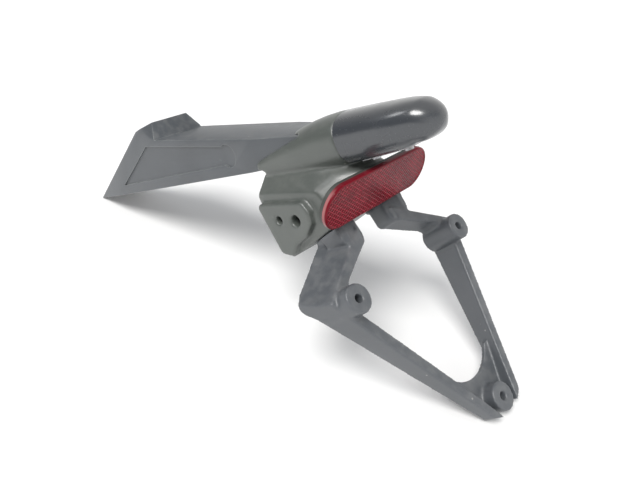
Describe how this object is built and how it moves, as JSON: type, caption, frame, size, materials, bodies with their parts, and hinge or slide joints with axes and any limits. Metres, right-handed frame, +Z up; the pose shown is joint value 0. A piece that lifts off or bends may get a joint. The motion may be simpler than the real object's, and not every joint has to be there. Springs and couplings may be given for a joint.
{
  "type": "tail tidy",
  "caption": "Tail tidy for a motorbike: a long bolt-on arm, a neck housing with lamp cap and reflector, indicator bosses and a V-shaped number plate frame.",
  "frame": {"origin": "middle of the length and width, on the surface the part lies on", "axes": "+X to the rear of the bike, +Y to its left, +Z up"},
  "size_m": [0.4014, 0.1296, 0.168],
  "materials": {
    "arm_plastic": "fine grained, blue grey",
    "hood_plastic": "satin, olive grey",
    "frame_plastic": "fine grained, dark grey",
    "cap_plastic": "polished, black",
    "clear_lens": "clear, with fine ribs",
    "white_plastic": "white",
    "bulb_glass": "clear",
    "red_lens": "clear red over small prisms",
    "dark_base": "smooth, black",
    "steel": "zinc plated",
    "dark_steel": "black oxide",
    "seal_rubber": "matte"
  },
  "bodies": {
    "root": {"arm": "arm_plastic", "mount_sleeves": "steel", "fairing": "hood_plastic", "neck_housing": "hood_plastic", "arm_screws": "dark_steel", "lamp_cap": "cap_plastic", "lamp_lens": "clear_lens", "lens_gasket": "seal_rubber", "lamp_tray": "white_plastic", "lamp_bulb": "bulb_glass", "lens_screws": "steel", "cap_screws": "steel", "reflector_lens": "red_lens", "reflector_base": "dark_base", "reflector_stud": "steel", "reflector_nut": "steel", "plate_frame": "frame_plastic", "frame_screws": "steel", "frame_washers": "steel", "wire_grommet": "seal_rubber"}
  },
  "joints": []
}
